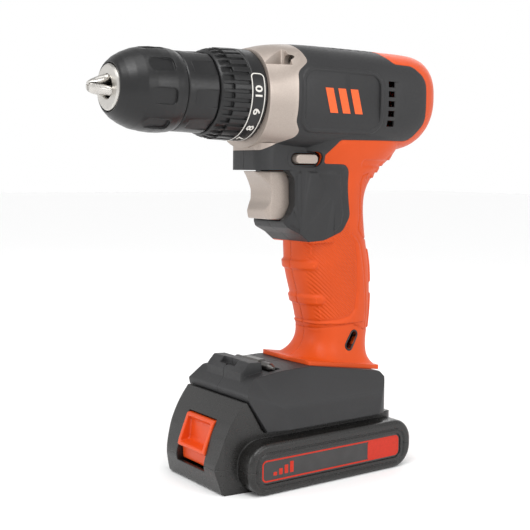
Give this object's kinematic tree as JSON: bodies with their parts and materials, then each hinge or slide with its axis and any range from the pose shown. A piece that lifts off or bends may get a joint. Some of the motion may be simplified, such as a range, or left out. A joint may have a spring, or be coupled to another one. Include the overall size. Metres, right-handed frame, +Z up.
{
  "type": "cordless drill driver",
  "caption": "Pistol-grip cordless drill driver with keyless chuck, torque collar, two-stage gearbox, motor, trigger and slide-on battery.",
  "frame": {"origin": "middle of the bounding box at the table surface under the battery", "axes": "+X towards the chuck, +Y to the drill's left, +Z up"},
  "size_m": [0.205, 0.075, 0.2242],
  "materials": {
    "orange_plastic": "fine moulded texture",
    "charcoal_plastic": "fine matt moulded texture",
    "taupe_plastic": "satin metallic paint look",
    "black_plastic": "satin",
    "steel": "turned",
    "dark_steel": "black oxide",
    "nylon_gear": "natural nylon",
    "brass": "plain",
    "magnet": "sintered ferrite",
    "copper_winding": "enamelled winding",
    "red_button": "smooth moulded",
    "label": "printed plate",
    "cell": "shrink wrapped cell",
    "board": "circuit board",
    "wire": "insulated wire"
  },
  "bodies": {
    "handle": {"left_housing_shell": "orange_plastic", "right_housing_shell": "orange_plastic", "left_side_cover": "charcoal_plastic", "right_side_cover": "charcoal_plastic", "gearbox_cover": "taupe_plastic", "housing_screws": "dark_steel", "gearbox_housing": "black_plastic", "first_stage_ring_gear": "nylon_gear", "second_stage_ring_gear": "steel", "clutch_thrust_set": "steel", "clutch_spring": "steel", "spindle_bearings": "steel", "motor_can": "steel", "motor_magnets": "magnet", "motor_bearings": "steel", "brush_holder": "black_plastic", "motor_brushes": "dark_steel", "trigger_switch": "black_plastic", "trigger_spring": "steel", "wiring": "wire", "terminal_block": "black_plastic", "terminal_blades": "brass", "left_foot_shell": "charcoal_plastic", "right_foot_shell": "charcoal_plastic"},
    "chuck": {"spindle": "steel", "output_carrier": "steel", "chuck_body": "steel", "chuck_screw": "dark_steel", "chuck_rear_sleeve": "black_plastic"},
    "front_sleeve": {"chuck_front_sleeve": "black_plastic", "chuck_nut": "steel"},
    "jaw_1": {"chuck_jaw_1": "steel"},
    "jaw_2": {"chuck_jaw_2": "steel"},
    "jaw_3": {"chuck_jaw_3": "steel"},
    "rotor": {"motor_shaft": "steel", "armature_core": "steel", "armature_windings": "copper_winding", "commutator": "brass", "motor_fan": "black_plastic", "motor_pinion": "steel"},
    "first_stage": {"first_carrier": "steel"},
    "torque_ring": {"torque_collar": "black_plastic"},
    "clutch_slider": {"clutch_nut": "steel"},
    "trigger": {"trigger": "taupe_plastic"},
    "selector": {"direction_selector": "taupe_plastic"},
    "battery": {"battery_lower_shell": "charcoal_plastic", "battery_upper_shell": "charcoal_plastic", "battery_cells": "cell", "battery_board": "board", "battery_contacts": "brass", "battery_labels": "label", "button_spring": "steel"},
    "release_button": {"release_button": "red_button"},
    "spare_bit": {"spare_bit": "dark_steel"},
    "first_planet_1": {"first_stage_planet_1": "nylon_gear"},
    "first_planet_2": {"first_stage_planet_2": "nylon_gear"},
    "first_planet_3": {"first_stage_planet_3": "nylon_gear"},
    "second_planet_1": {"second_stage_planet_1": "steel"},
    "second_planet_2": {"second_stage_planet_2": "steel"},
    "second_planet_3": {"second_stage_planet_3": "steel"}
  },
  "joints": [
    {"name": "spindle_spin", "type": "hinge", "parent": "handle", "child": "chuck", "pos_m": [0, 0, 0.197], "axis": [1, 0, 0], "continuous": true},
    {"name": "sleeve_turn", "type": "hinge", "parent": "chuck", "child": "front_sleeve", "pos_m": [0.07, 0, 0.197], "axis": [1, 0, 0], "range_deg": [0, 4320]},
    {"name": "jaw_1_slide", "type": "slide", "parent": "chuck", "child": "jaw_1", "axis": [-0.9659, 0, 0.2588], "range_m": [0, 0.0181]},
    {"name": "jaw_2_slide", "type": "slide", "parent": "chuck", "child": "jaw_2", "axis": [-0.9659, -0.2241, -0.1294], "range_m": [0, 0.0181]},
    {"name": "jaw_3_slide", "type": "slide", "parent": "chuck", "child": "jaw_3", "axis": [-0.9659, 0.2241, -0.1294], "range_m": [0, 0.0181]},
    {"name": "rotor_spin", "type": "hinge", "parent": "handle", "child": "rotor", "pos_m": [-0.06, 0, 0.197], "axis": [1, 0, 0], "continuous": true},
    {"name": "first_carrier_spin", "type": "hinge", "parent": "handle", "child": "first_stage", "pos_m": [-0.023, 0, 0.197], "axis": [1, 0, 0], "continuous": true},
    {"name": "first_planet_1_spin", "type": "hinge", "parent": "first_stage", "child": "first_planet_1", "pos_m": [-0.028, 0, 0.2075], "axis": [1, 0, 0], "continuous": true},
    {"name": "first_planet_2_spin", "type": "hinge", "parent": "first_stage", "child": "first_planet_2", "pos_m": [-0.028, -0.00909, 0.19175], "axis": [1, 0, 0], "continuous": true},
    {"name": "first_planet_3_spin", "type": "hinge", "parent": "first_stage", "child": "first_planet_3", "pos_m": [-0.028, 0.00909, 0.19175], "axis": [1, 0, 0], "continuous": true},
    {"name": "second_planet_1_spin", "type": "hinge", "parent": "chuck", "child": "second_planet_1", "pos_m": [-0.015, 0, 0.2075], "axis": [1, 0, 0], "continuous": true},
    {"name": "second_planet_2_spin", "type": "hinge", "parent": "chuck", "child": "second_planet_2", "pos_m": [-0.015, -0.00909, 0.19175], "axis": [1, 0, 0], "continuous": true},
    {"name": "second_planet_3_spin", "type": "hinge", "parent": "chuck", "child": "second_planet_3", "pos_m": [-0.015, 0.00909, 0.19175], "axis": [1, 0, 0], "continuous": true},
    {"name": "collar_turn", "type": "hinge", "parent": "handle", "child": "torque_ring", "pos_m": [0.03, 0, 0.197], "axis": [1, 0, 0], "range_deg": [0, 306]},
    {"name": "clutch_nut_slide", "type": "slide", "parent": "handle", "child": "clutch_slider", "axis": [1, 0, 0], "range_m": [0, 0.0041], "deforming": ["clutch_spring"]},
    {"name": "trigger_pull", "type": "slide", "parent": "handle", "child": "trigger", "axis": [-1, 0, 0], "range_m": [0, 0.006], "stiffness_N_per_m": 900, "springref_m": -0.004, "deforming": ["trigger_spring"]},
    {"name": "selector_slide", "type": "slide", "parent": "handle", "child": "selector", "axis": [0, -1, 0], "range_m": [-0.003, 0.003]},
    {"name": "battery_slide", "type": "slide", "parent": "handle", "child": "battery", "axis": [1, 0, 0], "range_m": [0, 0.09]},
    {"name": "release_press", "type": "slide", "parent": "battery", "child": "release_button", "axis": [0, 0, -1], "range_m": [0, 0.003], "stiffness_N_per_m": 700, "springref_m": -0.002, "deforming": ["button_spring"]},
    {"name": "bit_lift", "type": "slide", "parent": "handle", "child": "spare_bit", "axis": [0, 0, 1], "range_m": [0, 0.02]}
  ],
  "couplings": [
    {"joint": "jaw_1_slide", "follows": "sleeve_turn", "m_per_rad": 0.00023873},
    {"joint": "jaw_2_slide", "follows": "sleeve_turn", "m_per_rad": 0.00023873},
    {"joint": "jaw_3_slide", "follows": "sleeve_turn", "m_per_rad": 0.00023873},
    {"joint": "rotor_spin", "follows": "spindle_spin", "ratio": 25},
    {"joint": "first_carrier_spin", "follows": "spindle_spin", "ratio": 5},
    {"joint": "first_planet_1_spin", "follows": "spindle_spin", "ratio": -13.333},
    {"joint": "first_planet_2_spin", "follows": "spindle_spin", "ratio": -13.333},
    {"joint": "first_planet_3_spin", "follows": "spindle_spin", "ratio": -13.333},
    {"joint": "second_planet_1_spin", "follows": "spindle_spin", "ratio": -2.6667},
    {"joint": "second_planet_2_spin", "follows": "spindle_spin", "ratio": -2.6667},
    {"joint": "second_planet_3_spin", "follows": "spindle_spin", "ratio": -2.6667},
    {"joint": "clutch_nut_slide", "follows": "collar_turn", "m_per_rad": 0.00074896}
  ]
}
